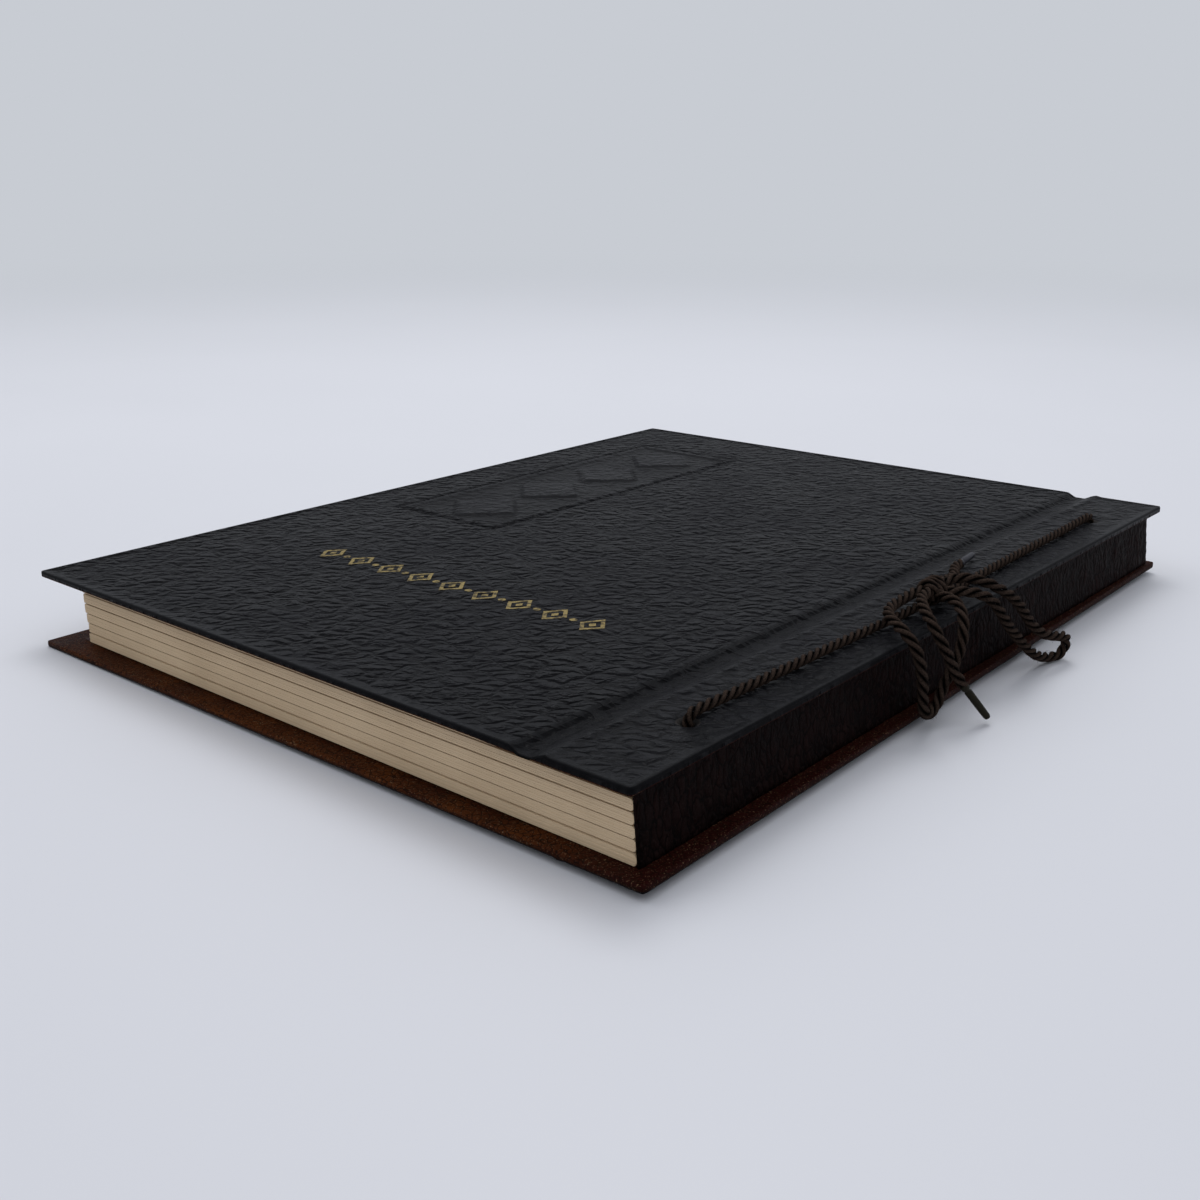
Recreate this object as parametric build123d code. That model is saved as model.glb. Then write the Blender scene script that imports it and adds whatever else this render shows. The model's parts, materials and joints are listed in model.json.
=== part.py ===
import os
from math import atan2, degrees, radians, tan

from build123d import *

# A laced album: two leather covered boards with hinge grooves, six sewn sections under a leather
# spine, and one twisted cord laced through both covers and tied in a bow over the spine.
# It is drawn flat on its back cover, X to the spine, Y from head to tail, Z up. Then it is laid
# down as it rests: on the cord under its back cover and on that cover's fore-edge.

# Covers, front and back alike
cover_width = 222.5
cover_height = 287.0
cover_thickness = 2.0
cover_corner_radius = 1.6
outer_edge_radius = 0.7
inner_edge_cut = 0.4
groove_inset = 28.0
groove_width = 6.0
hinge_leather_thickness = 0.6
hinge_leather_rise = 0.3
lining_thickness = 0.3
lining_margin = 8.0

# The back cover has slipped a little in its lacing
back_slip_to_spine = 1.6
back_slip_to_head = 1.2
back_turn = 0.65

# Panel pressed blind into the front cover: a line, and lozenges standing in a sunk field
pressed_width = 40.0
pressed_length = 130.0
pressed_depth = 0.35
pressed_from_spine = 178.0
pressed_to_tail = 43.5
pressed_line_gap = 2.4
pressed_line_width = 1.2
lozenge_count = 4
lozenge_width_share = 0.7
lozenge_length_share = 0.86

# Text block of folded sections, under a leather spine
block_width = 204.5
block_height = 277.5
section_count = 6
section_thickness = 2.95
section_gap = 0.3
section_gap_depth = 0.6
fold_depth = 0.9
page_clearance = 0.1
spine_overhang = 3.0
spine_lean = 1.5
spine_leather_thickness = 0.9
glue_thickness = 0.05

# Lacing holes, drilled through the covers and the block
hole_inset = 11.8
hole_spacing = 220.0
cover_hole_diameter = 5.5
block_hole_diameter = 4.0

# Lacing cord: flattened under the back cover, six-sided for round elsewhere
cord_diameter = 2.6
cord_sides = 6
cord_clearance = 0.1
flat_cord_width = 3.2
flat_cord_height = 1.8
flat_cord_edge_cut = 0.6

# Knot of the bow: turns of cord side by side round a core
knot_inset = 9.3
knot_to_head = 5.7
knot_turns = 3
knot_turn_diameter = 3.0
knot_turn_radius = 2.4
knot_core_diameter = 5.2

# Free cord of the bow, with a crimped tip on each end
bow_cord_diameter = 3.0
tip_diameter = 2.4
tip_length = 12.0
tip_edge_cut = 0.4

# Overrun of every cut
overrun = 1.0

# Routes of the bow's free cord on the resting book, each from the knot outwards
head_loop_route = [
    (98.1, -9.5, 28.4),
    (98.4, -16.4, 28.1),
    (98.6, -23.2, 28.0),
    (101.0, -30.2, 28.1),
    (105.6, -35.0, 28.1),
    (110.0, -37.4, 27.2),
    (113.4, -37.6, 24.2),
    (114.7, -36.2, 18.8),
    (114.6, -34.2, 11.8),
    (114.3, -32.2, 4.1),
    (114.0, -25.6, 3.9),
    (114.1, -22.4, 9.0),
    (114.6, -19.0, 13.2),
    (115.3, -16.8, 17.6),
    (115.4, -15.6, 22.2),
    (113.8, -13.6, 26.3),
    (109.8, -9.6, 28.2),
    (105.0, -7.2, 27.9),
]
tail_loop_route = [
    (101.2, 0.6, 29.0),
    (101.9, 3.8, 29.6),
    (105.4, 6.2, 29.9),
    (109.6, 7.8, 29.2),
    (112.6, 10.0, 27.4),
    (114.4, 13.6, 25.0),
    (115.4, 17.7, 21.6),
    (116.0, 21.6, 17.5),
    (116.8, 25.2, 13.6),
    (118.2, 29.6, 10.4),
    (119.6, 35.2, 8.6),
    (120.8, 41.6, 7.4),
    (119.9, 41.2, 1.7),
    (118.2, 35.6, 1.7),
    (117.3, 28.4, 4.0),
    (116.3, 22.4, 8.4),
    (115.7, 16.6, 13.0),
    (115.2, 11.0, 17.8),
    (114.6, 7.0, 22.4),
    (112.8, 4.6, 26.0),
    (109.4, 1.2, 28.0),
    (105.0, -2.2, 27.9),
]
head_end_route = [
    (101.5, -9.7, 28.6),
    (102.4, -15.2, 28.8),
    (106.4, -21.4, 28.6),
    (111.0, -26.0, 27.2),
    (114.2, -27.0, 24.0),
    (116.0, -25.8, 20.0),
    (117.2, -24.4, 16.2),
    (118.2, -23.4, 13.3),
    (119.4, -22.0, 11.0),
]
tail_end_route = [
    (97.9, 0.5, 28.9),
    (96.9, 7.2, 26.9),
    (96.6, 14.0, 25.9),
    (94.8, 20.2, 25.6),
    (91.8, 25.0, 25.5),
    (91.0, 30.6, 25.4),
]

spine_edge = cover_width / 2
groove_x = spine_edge - groove_inset
strip_side = groove_x + groove_width / 2
panel_side = groove_x - groove_width / 2
block_thickness = section_count * section_thickness
block_bottom = cover_thickness + page_clearance
front_bottom = block_bottom + block_thickness + page_clearance
front_top = front_bottom + cover_thickness
block_spine = spine_edge - spine_overhang
block_fore = block_spine - block_width
hole_x = spine_edge - hole_inset
hole_ys = (-hole_spacing / 2, hole_spacing / 2)
knot_x = spine_edge - knot_inset
knot_length = knot_turns * knot_turn_diameter
tube_centre_z = front_top + cord_diameter / 2 + cord_clearance
standing = (Align.CENTER, Align.CENTER, Align.MIN)


# Leather covered board over part of the cover's width, drawn with its inner face down
def covered_board(side_x, groove_side_x, inner_z):
    outline = RectangleRounded(cover_width, cover_height, cover_corner_radius)
    full = extrude(outline, cover_thickness)
    width = abs(side_x - groove_side_x)
    region = Box(width, cover_height, cover_thickness - inner_z, align=standing)
    board = full & Pos((side_x + groove_side_x) / 2, 0, inner_z) * region
    board = fillet(board.faces().sort_by(Axis.Z)[-1].edges(), outer_edge_radius)
    inner_edges = board.faces().sort_by(Axis.Z)[0].edges()
    at_groove = inner_edges.filter_by_position(Axis.X, groove_side_x, groove_side_x)
    return chamfer(inner_edges - at_groove, inner_edge_cut)


# Paper pasted inside a cover panel, short of the leather that is turned in round three sides
def cover_lining():
    width = panel_side + spine_edge - lining_margin
    sheet = Rectangle(width, cover_height - 2 * lining_margin, align=(Align.MAX, Align.CENTER))
    return extrude(Pos(panel_side, 0, 0) * sheet, lining_thickness)


# Leather across the groove, sagging between the two boards
def hinge_leather():
    low = lining_thickness
    sag = low + hinge_leather_thickness
    rim = sag + hinge_leather_rise
    trough = ThreePointArc((strip_side, rim), (groove_x, sag), (panel_side, rim))
    rest_of_it = Polyline((panel_side, rim), (panel_side, low), (strip_side, low), (strip_side, rim))
    section = make_face(Plane.XZ * (Curve() + trough + rest_of_it))
    return extrude(section, cover_height / 2, both=True)


# Blind pressing: one line round a sunk field, with lozenges left standing in the field
def blind_pressing():
    lozenge_pitch = pressed_length / lozenge_count
    half_width = pressed_width * lozenge_width_share / 2
    half_length = lozenge_pitch * lozenge_length_share / 2
    lozenge = Polygon((half_width, 0), (0, half_length), (-half_width, 0), (0, -half_length))
    field = Rectangle(pressed_width, pressed_length)
    field -= [place * lozenge for place in GridLocations(0, lozenge_pitch, 1, lozenge_count)]
    line_inside = 2 * pressed_line_gap
    line_outside = line_inside + 2 * pressed_line_width
    line = Rectangle(pressed_width + line_outside, pressed_length + line_outside)
    line -= Rectangle(pressed_width + line_inside, pressed_length + line_inside)
    return extrude(field + line, pressed_depth + overrun)


def lacing_holes(diameter):
    height = front_top + 2 * overrun
    drill = Cylinder(diameter / 2, height, align=standing)
    return [Pos(hole_x, y, -overrun) * drill for y in hole_ys]


# Point of the sections' fold line: the share is of the block's height, and the spine leans
def fold_point(height_share, depth):
    lean = spine_lean * (1 / 2 - height_share)
    return (block_spine + lean - depth, block_bottom + height_share * block_thickness)


# Folded sections as one solid: round folds at the spine, and a gap between sections elsewhere
def text_block():
    folds = []
    for index in range(section_count):
        low_share = index / section_count
        high_share = (index + 1) / section_count
        crest = fold_point((low_share + high_share) / 2, 0)
        low_end = fold_point(low_share, fold_depth)
        high_end = fold_point(high_share, fold_depth)
        folds.append(ThreePointArc(low_end, crest, high_end))
    block_top = block_bottom + block_thickness
    fore_corners = [(block_fore, block_top), (block_fore, block_bottom)]
    pages = Polyline(fold_point(1, fold_depth), *fore_corners, fold_point(0, fold_depth))
    block = extrude(make_face(Plane.XZ * (Curve() + folds + pages)), block_height / 2, both=True)
    around = Rectangle(block_width + overrun, block_height + 2 * overrun)
    inside = Rectangle(block_width + overrun, block_height - 2 * section_gap_depth)
    gap = around - Pos(overrun + section_gap_depth, 0, 0) * inside
    gap = extrude(gap, section_gap / 2, both=True)
    for index in range(1, section_count):
        height = block_bottom + index * section_thickness
        block -= Pos(block_spine - block_width / 2 - overrun, 0, height) * gap
    return block - lacing_holes(block_hole_diameter)


# Leather glued over the folds
def spine_wrap():
    inner_low = fold_point(0, -glue_thickness)
    inner_high = fold_point(1, -glue_thickness)
    outer_low = fold_point(0, -glue_thickness - spine_leather_thickness)
    outer_high = fold_point(1, -glue_thickness - spine_leather_thickness)
    section = make_face(Plane.XZ * Polyline(inner_low, outer_low, outer_high, inner_high, close=True))
    return extrude(section, block_height / 2, both=True)


# Tight cord from the knot to a hole and down through the book
def laced_run(y):
    towards_hole = 1 if y > 0 else -1
    at_knot = (knot_x, towards_hole * (knot_length / 2 + cord_clearance) - knot_to_head, tube_centre_z)
    path = FilletPolyline(at_knot, (hole_x, y, tube_centre_z), (hole_x, y, 0), radius=cord_diameter)
    section = RegularPolygon(cord_diameter / 2, cord_sides)
    return sweep(Plane(path @ 0, z_dir=path % 0) * section, path=path)


# Tight cord from hole to hole, pressed flat under the back cover
def laced_back_run():
    plan = Rot(0, 0, 90) * SlotOverall(hole_spacing + flat_cord_width, flat_cord_width)
    run = extrude(Pos(hole_x, 0, -flat_cord_height) * plan, flat_cord_height)
    return chamfer(run.faces().sort_by(Axis.Z)[0].edges(), flat_cord_edge_cut)


def bow_knot():
    section = RegularPolygon(knot_turn_diameter / 2, cord_sides)
    turn = revolve(Plane.XZ * Pos(knot_turn_radius, 0) * section, Axis.Z)
    knot = Cylinder(knot_core_diameter / 2, knot_length)
    for index in range(knot_turns):
        knot += Pos(0, 0, knot_turn_diameter * (index - (knot_turns - 1) / 2)) * turn
    height = front_top + knot_turn_radius + knot_turn_diameter / 2 + cord_clearance
    return Pos(knot_x, -knot_to_head, height) * Rot(90, 0, 0) * knot


# Free cord as straight runs joined by the largest tangent arcs that its runs leave room for
def free_cord(name, route):
    run_share = 0.45
    points = [Vector(*point) for point in route]
    runs = [after - before for before, after in zip(points, points[1:])]
    radii = []
    for before, after in zip(runs, runs[1:]):
        half_turn = radians(before.get_angle(after)) / 2
        radii.append(run_share * min(before.length, after.length) / tan(half_turn))
    path = FilletPolyline(*points, radius=radii)
    section = RegularPolygon(bow_cord_diameter / 2, cord_sides)
    tube = sweep(Plane(path @ 0, z_dir=path % 0) * section, path=path)
    print(name, "length", round(path.length, 1), "radii", [round(radius, 1) for radius in radii],
          "volume over section times length", round(tube.volume / (section.area * path.length), 4))
    return tube


# Crimped tip, in line with the last run of its cord
def cord_tip(route):
    before, end = [Vector(*point) for point in route[-2:]]
    tip = Cylinder(tip_diameter / 2, tip_length, align=standing)
    tip = chamfer(tip.faces().sort_by(Axis.Z)[-1].edges(), tip_edge_cut)
    return Plane(origin=end, z_dir=end - before) * tip


front_place = Pos(0, 0, front_bottom)
back_slip = Pos(back_slip_to_spine, -back_slip_to_head, cover_thickness)
back_place = back_slip * Rot(0, 0, back_turn) * Rot(180, 0, 0)
cover_holes = lacing_holes(cover_hole_diameter)
strip = covered_board(spine_edge, strip_side, 0)
panel = covered_board(-spine_edge, panel_side, lining_thickness)
pressing_place = Pos(spine_edge - pressed_from_spine, pressed_to_tail, cover_thickness - pressed_depth)

flat_book = {
    "text_block": text_block(),
    "spine_wrap": spine_wrap(),
    "front_hinge_strip": front_place * strip - cover_holes,
    "front_hinge_leather": front_place * hinge_leather(),
    "front_cover_panel": front_place * (panel - pressing_place * blind_pressing()),
    "front_cover_lining": front_place * cover_lining(),
    "back_hinge_strip": back_place * strip - cover_holes,
    "back_hinge_leather": back_place * hinge_leather(),
    "back_cover_panel": back_place * panel,
    "back_cover_lining": back_place * cover_lining(),
    "lacing_head_run": laced_run(hole_ys[0]),
    "lacing_tail_run": laced_run(hole_ys[1]),
    "lacing_back_run": laced_back_run(),
    "bow_knot": bow_knot(),
}

# Lay the book down, with the middle of its box on the origin
fore_edge = flat_book["back_cover_panel"].bounding_box().min.X
leaning = Rot(0, -degrees(atan2(flat_cord_height, hole_x - fore_edge)), 0)
lying_book = {name: leaning * solid for name, solid in flat_book.items()}
box = Compound(list(lying_book.values())).bounding_box()
to_origin = Pos(-box.center().X, -box.center().Y, -box.min.Z)
nodes = {name: to_origin * solid for name, solid in lying_book.items()}

nodes["bow_loop_head"] = free_cord("bow_loop_head", head_loop_route)
nodes["bow_loop_tail"] = free_cord("bow_loop_tail", tail_loop_route)
nodes["cord_end_head"] = free_cord("cord_end_head", head_end_route)
nodes["cord_end_tail"] = free_cord("cord_end_tail", tail_end_route)
nodes["cord_tip_head"] = cord_tip(head_end_route)
nodes["cord_tip_tail"] = cord_tip(tail_end_route)

os.makedirs("parts", exist_ok=True)
for name, solid in nodes.items():
    export_step(solid, f"parts/{name}.step")
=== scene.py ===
import json
import math

import bpy
import numpy as np
from mathutils import Matrix, Vector, noise


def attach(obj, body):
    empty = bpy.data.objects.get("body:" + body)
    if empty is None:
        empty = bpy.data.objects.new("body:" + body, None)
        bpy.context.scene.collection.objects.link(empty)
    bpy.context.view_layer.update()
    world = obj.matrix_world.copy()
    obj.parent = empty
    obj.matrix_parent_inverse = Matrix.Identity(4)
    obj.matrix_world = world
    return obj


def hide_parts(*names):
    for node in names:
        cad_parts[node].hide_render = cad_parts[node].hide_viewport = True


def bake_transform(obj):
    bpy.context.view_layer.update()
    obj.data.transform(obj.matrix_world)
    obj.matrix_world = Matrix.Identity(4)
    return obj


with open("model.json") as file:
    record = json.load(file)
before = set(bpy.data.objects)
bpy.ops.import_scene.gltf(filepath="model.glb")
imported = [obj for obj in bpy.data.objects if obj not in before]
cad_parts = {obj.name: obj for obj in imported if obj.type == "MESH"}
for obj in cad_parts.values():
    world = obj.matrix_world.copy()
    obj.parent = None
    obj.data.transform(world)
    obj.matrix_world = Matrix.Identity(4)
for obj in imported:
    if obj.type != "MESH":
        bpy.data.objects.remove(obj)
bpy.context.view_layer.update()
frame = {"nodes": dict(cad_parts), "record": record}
record = frame["record"]
scene = bpy.context.scene
mm = 0.001
tiny = 1e-6
print("frame loaded")


# sRGB hex as linear RGBA
def linear(hexColour):
    parts = [int(hexColour[at:at + 2], 16) / 255 for at in (1, 3, 5)]
    return tuple(c / 12.92 if c <= 0.04045 else ((c + 0.055) / 1.055) ** 2.4 for c in parts) + (1.0,)


# Scale of a pattern whose repeat is this many millimetres
def perMillimetre(size):
    return 1 / (size * mm)


# A node with its settings, its values and its links
def addNode(tree, kind, inputs=None, **settings):
    node = tree.nodes.new(kind)
    for name, value in settings.items():
        setattr(node, name, value)
    for name, value in (inputs or {}).items():
        if isinstance(value, bpy.types.NodeSocket):
            tree.links.new(value, node.inputs[name])
        else:
            node.inputs[name].default_value = value
    return node


# First output of a geometry node
def geometry(tree, kind, inputs=None, **settings):
    return addNode(tree, "GeometryNode" + kind, inputs, **settings).outputs[0]


# Result of a sum on numbers
def calc(tree, operation, *values):
    return addNode(tree, "ShaderNodeMath", dict(enumerate(values)), operation=operation).outputs[0]


# Result of a sum on vectors
def vectorCalc(tree, operation, first, second):
    name = "Scale" if operation == "SCALE" else 1
    outputs = addNode(tree, "ShaderNodeVectorMath", {0: first, name: second}, operation=operation).outputs
    return outputs["Value" if operation == "DISTANCE" else "Vector"]


# A value spread from one range over another
def spread(tree, value, low, high, toLow=0.0, toHigh=1.0, shape="LINEAR"):
    return addNode(tree, "ShaderNodeMapRange", {
        "Value": value, "From Min": low, "From Max": high, "To Min": toLow, "To Max": toHigh},
        interpolation_type=shape).outputs["Result"]


def clouds(tree, place, size, detail=4.0, output="Fac"):
    return addNode(tree, "ShaderNodeTexNoise", {
        "Vector": place, "Scale": perMillimetre(size), "Detail": detail}).outputs[output]


# Domes of a cell pattern, which rise over this share of a cell
def cells(tree, place, size, riseShare):
    distance = addNode(tree, "ShaderNodeTexVoronoi", {
        "Vector": place, "Scale": perMillimetre(size)}, feature="DISTANCE_TO_EDGE").outputs["Distance"]
    return spread(tree, distance, 0.0, riseShare, shape="SMOOTHSTEP")


# Two colours mixed, each an sRGB hex or another node's colour
def mixColour(tree, share, first, second):
    first, second = (linear(colour) if isinstance(colour, str) else colour for colour in (first, second))
    return addNode(tree, "ShaderNodeMix", {0: share, 6: first, 7: second}, data_type="RGBA").outputs[2]


def mixShader(tree, share, first, second):
    return addNode(tree, "ShaderNodeMixShader", {0: share, 1: first, 2: second}).outputs[0]


def bump(tree, height, depth, **under):
    return addNode(tree, "ShaderNodeBump", {
        "Height": height, "Distance": depth * mm, **under}).outputs["Normal"]


# Value stored on the mesh's points
def pointValue(tree, name):
    return addNode(tree, "ShaderNodeAttribute", attribute_name=name).outputs["Fac"]


# A material with these values on its shader, and the place of a point on the object
def newMaterial(name, **values):
    material = bpy.data.materials.new(name)
    material.use_nodes = True
    tree = material.node_tree
    shader = tree.nodes["Principled BSDF"]
    for socket, value in values.items():
        shader.inputs[socket.replace("_", " ")].default_value = value
    return material, tree, shader, addNode(tree, "ShaderNodeTexCoord").outputs["Object"]


def wire(tree, shader, **sockets):
    for name, socket in sockets.items():
        tree.links.new(socket, shader.inputs[name.replace("_", " ")])


def addObject(name, data):
    holder = bpy.data.objects.new(name, data)
    scene.collection.objects.link(holder)
    return holder


def newMesh(name, verts, edges, faces):
    mesh = bpy.data.meshes.new(name)
    mesh.from_pydata(verts, edges, faces)
    return mesh


def smoothStep(low, high, value):
    share = np.clip((value - low) / (high - low), 0, 1)
    return share * share * (3 - 2 * share)


# Leather: warped pebbles with painted shade in their sharp creases, finer cells inside them, pores, and a
# mottled bloom
leather = {
    "fineRiseShare": 0.3, "creaseRiseShare": 0.1, "bloomRange": (0.36, 0.66), "roughRange": (0.3, 0.7),
    "speckSpan": 0.12}


def leatherMaterial(name, look):
    material, tree, shader, place = newMaterial(name, Specular_IOR_Level=look["shine"])
    turn = (0.0, 0.0, math.radians(look["turn"]))
    drawn = addNode(tree, "ShaderNodeMapping", {
        "Vector": place, "Rotation": turn, "Scale": look["aspect"]}, vector_type="TEXTURE").outputs[0]
    sway = clouds(tree, drawn, look["swaySize"], detail=2.0, output="Color")
    centred = vectorCalc(tree, "SUBTRACT", sway, (0.5, 0.5, 0.5))
    warped = vectorCalc(tree, "ADD", drawn, vectorCalc(tree, "SCALE", centred, look["sway"] * mm))
    pebbles = cells(tree, warped, look["pebbleSize"], look["riseShare"])
    finer = cells(tree, warped, look["pebbleSize"] * look["fineSizeShare"], leather["fineRiseShare"])
    clear = cells(tree, warped, look["pebbleSize"], leather["creaseRiseShare"])
    mottle = clouds(tree, place, look["mottleSize"])
    fibre = clouds(tree, place, look["fibreSize"], detail=5.0)

    ground = mixColour(tree, spread(tree, mottle, *leather["bloomRange"]), look["ground"], look["bloom"])
    # Redder towards the spine, and darker there with painted shade from the spine and bow
    if "spineRedAndShade" in look:
        across = addNode(tree, "ShaderNodeSeparateXYZ", {0: place}).outputs["X"]
        towardsSpine = spread(tree, across, *(edge * mm for edge in look["spineRange"]))
        ground = mixColour(tree, towardsSpine, ground, look["spineRedAndShade"])
    # Painted shade: the crease colour fills the grain's creases, and spreads wherever the mesh's shade
    # share is low
    flat = calc(tree, "MULTIPLY", clear, pointValue(tree, "shade"))
    creaseShaded = mixColour(tree, flat, look["creaseShade"], ground)
    speckTo = look["speckFrom"] + leather["speckSpan"]
    specks = spread(tree, fibre, look["speckFrom"], speckTo, 0.0, look["speckShare"])
    colour = mixColour(tree, specks, creaseShaded, look["speck"])

    fineDepth = calc(tree, "MULTIPLY_ADD", finer, look["fineDepthShare"], 1 - look["fineDepthShare"])
    dents = calc(tree, "SUBTRACT", calc(tree, "MULTIPLY", pebbles, fineDepth), 1.0)
    tops = calc(tree, "MULTIPLY_ADD", dents, pointValue(tree, "grain"), 1.0)
    grained = bump(tree, tops, look["pebbleDepth"])
    wire(tree, shader, Base_Color=colour, Normal=bump(tree, fibre, look["poreDepth"], Normal=grained),
         Roughness=spread(tree, mottle, *leather["roughRange"], *look["rough"]))
    return material


# Black pebbled cover leather: satin tops that catch the room, painted shade in the creases, drawn out one
# way
blackLeather = leatherMaterial("pebbledBlackLeather", {
    "ground": "#131315", "bloom": "#19191c", "creaseShade": "#0b0b0d", "speck": "#242326", "shine": 0.026,
    "rough": (0.34, 0.44), "aspect": (1.25, 0.85, 5.0), "turn": 38.0, "swaySize": 4.0, "sway": 4.0,
    "pebbleSize": 5.0, "pebbleDepth": 1.7, "riseShare": 0.34, "fineSizeShare": 0.45, "fineDepthShare": 0.22,
    "mottleSize": 30.0, "fibreSize": 0.5, "poreDepth": 0.05, "speckFrom": 0.66, "speckShare": 0.25})
# Red brown turned-in leather: pared thin and unpolished, with pale rubbed specks; redder towards the spine,
# and darker there with painted shade from the spine and bow
brownLeather = leatherMaterial("paredBrownLeather", {
    "ground": "#311408", "bloom": "#4a260d", "creaseShade": "#160703", "speck": "#8a7056", "shine": 0.035,
    "spineRedAndShade": "#240907", "spineRange": (80.0, 112.0),
    "rough": (0.5, 0.7), "aspect": (1.0, 1.0, 1.0), "turn": 0.0, "swaySize": 5.0, "sway": 3.0,
    "pebbleSize": 1.6, "pebbleDepth": 0.06, "riseShare": 0.27, "fineSizeShare": 0.5, "fineDepthShare": 0.3,
    "mottleSize": 14.0, "fibreSize": 0.4, "poreDepth": 0.05, "speckFrom": 0.6, "speckShare": 0.6})
# Spine leather: brown black, wrinkled across its height, dull
spineLeather = leatherMaterial("wrinkledSpineLeather", {
    "ground": "#0f0706", "bloom": "#1b0f0e", "creaseShade": "#030101", "speck": "#2b1f1d", "shine": 0.02,
    "rough": (0.45, 0.62), "aspect": (1.0, 1.0, 2.0), "turn": 0.0, "swaySize": 2.6, "sway": 2.6,
    "pebbleSize": 2.2, "pebbleDepth": 0.3, "riseShare": 0.27, "fineSizeShare": 0.5, "fineDepthShare": 0.3,
    "mottleSize": 7.0, "fibreSize": 0.45, "poreDepth": 0.06, "speckFrom": 0.58, "speckShare": 0.5})


# Paper: short fibres, a slow stain, and a tone for each sheet from the mesh
paperTones = (0.5, 1.5)


def paperMaterial(name, look):
    material, tree, shader, place = newMaterial(name, Roughness=look["rough"])
    stain = clouds(tree, place, look["stainSize"], detail=3.0)
    fibre = clouds(tree, place, look["fibreSize"])
    tone = calc(tree, "ADD", stain, pointValue(tree, "tone"))
    colour = mixColour(tree, spread(tree, tone, *paperTones), look["dark"], look["light"])
    wire(tree, shader, Base_Color=colour, Normal=bump(tree, fibre, look["fibreDepth"]))
    return material


# Aged album paper: matte, toned beige at its cut edges
pagePaper = paperMaterial("agedAlbumPaper", {
    "dark": "#c3ab8b", "light": "#dcc5a4", "rough": 0.85, "stainSize": 18.0, "fibreSize": 0.6,
    "fibreDepth": 0.03})
# Lining paper: matte red brown, pasted flat
liningPaper = paperMaterial("pastedLiningPaper", {
    "dark": "#3a1f1b", "light": "#54302a", "rough": 0.8, "stainSize": 12.0, "fibreSize": 0.4,
    "fibreDepth": 0.02})
# Cut straw board in the lacing holes: painted dark with the shade inside the holes, coarse and dull
shadedBoardCore = paperMaterial("cutStrawBoard", {
    "dark": "#140d08", "light": "#20160e", "rough": 0.9, "stainSize": 3.0, "fibreSize": 0.3,
    "fibreDepth": 0.1})


# Cord: matte brown yarn, with lighter fibres on its crowns and painted shade between its strands
def cordMaterial(name, look):
    material, tree, shader, place = newMaterial(
        name, Roughness=look["rough"], Specular_IOR_Level=look["shine"])
    dye = clouds(tree, place, look["dyeSize"], detail=3.0)
    yarn = clouds(tree, place, look["yarnSize"])
    dyed = mixColour(tree, dye, look["dyed"], look["faded"])
    fibres = mixColour(tree, spread(tree, yarn, *look["yarnRange"]), dyed, look["fibre"])
    # Painted shade: the crevice colour darkens the yarn away from its crowns, between the strands
    colour = mixColour(tree, pointValue(tree, "crown"), look["creviceShade"], fibres)
    wire(tree, shader, Base_Color=colour, Normal=bump(tree, yarn, look["yarnDepth"]))
    return material


# Twisted cord: dyed dark brown, soft and fuzzy, no shine
twistedCord = cordMaterial("twistedBrownCord", {
    "creviceShade": "#030202", "dyed": "#150f0c", "faded": "#221a16", "fibre": "#41352e", "rough": 0.85,
    "shine": 0.03, "dyeSize": 6.0, "yarnSize": 0.35, "yarnDepth": 0.12, "yarnRange": (0.3, 0.72)})


# Plastic tip: dull and scuffed
tipLook = {"rough": 0.45, "shine": 0.08, "scuffSize": 0.9, "scuffDepth": 0.05}


def tipMaterial(name, dark, light):
    material, tree, shader, place = newMaterial(
        name, Roughness=tipLook["rough"], Specular_IOR_Level=tipLook["shine"])
    scuff = clouds(tree, place, tipLook["scuffSize"])
    wire(tree, shader, Base_Color=mixColour(tree, scuff, dark, light),
         Normal=bump(tree, scuff, tipLook["scuffDepth"]))
    return material


oliveTip = tipMaterial("mouldedOliveTip", "#100f0a", "#242116")
paleTip = tipMaterial("mouldedPaleTip", "#232327", "#3d3d43")


# Gilt: dull gold foil, rubbed thin in places
def giltMaterial(name, look):
    material, tree, shader, place = newMaterial(
        name, Metallic=look["metal"], Specular_IOR_Level=look["shine"])
    rub = clouds(tree, place, look["rubSize"], detail=5.0)
    wire(tree, shader, Roughness=spread(tree, rub, 0.0, 1.0, *look["rough"]),
         Base_Color=mixColour(tree, spread(tree, rub, *look["rubRange"]), look["bare"], look["foil"]))
    return material


goldFoil = giltMaterial("rubbedGoldFoil", {
    "bare": "#2c2415", "foil": "#85754a", "metal": 0.2, "shine": 0.06, "rough": (0.4, 0.65), "rubSize": 1.4,
    "rubRange": (0.34, 0.56)})
print("materials made")

# Stage: pale floor, pale surroundings, soft lamps, and the photograph's camera
stageLook = {
    "floor": "#c9cad0", "floorCloud": "#cdced4", "floorRough": 0.55, "floorHalf": 6.0, "cloudSize": 500 / 3,
    "surround": "#c8ccd3", "worldLight": "#eef1f6", "sky": (0.3, 1.15), "fadeRange": (0.35, 1.6),
    "cameraPlace": (255.5, -322.7, 138.3), "azimuth": 40.461, "elevation": 18.328, "roll": -0.230,
    "lens": 40.61, "sensor": 36.0, "nearest": 0.01,
    "lamps": {
        "overhead": {"place": (-0.35, 0.5, 1.25), "size": 0.7, "power": 7.0},
        "windowSide": {"place": (-0.9, -0.5, 1.0), "size": 0.8, "power": 2.0}}}


def makeCamera(look):
    scene.view_settings.view_transform = "Standard"
    camera = addObject("camera", bpy.data.cameras.new("camera"))
    camera.data.lens = look["lens"]
    camera.data.sensor_width = look["sensor"]
    camera.data.clip_start = look["nearest"]
    turned = Matrix.Rotation(math.radians(look["azimuth"]), 4, "Z")
    tipped = Matrix.Rotation(math.radians(90 - look["elevation"]), 4, "X")
    rolled = Matrix.Rotation(-math.radians(look["roll"]), 4, "Z")
    camera.matrix_world = Matrix.Translation(Vector(look["cameraPlace"]) * mm) @ turned @ tipped @ rolled
    scene.camera = camera


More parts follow.
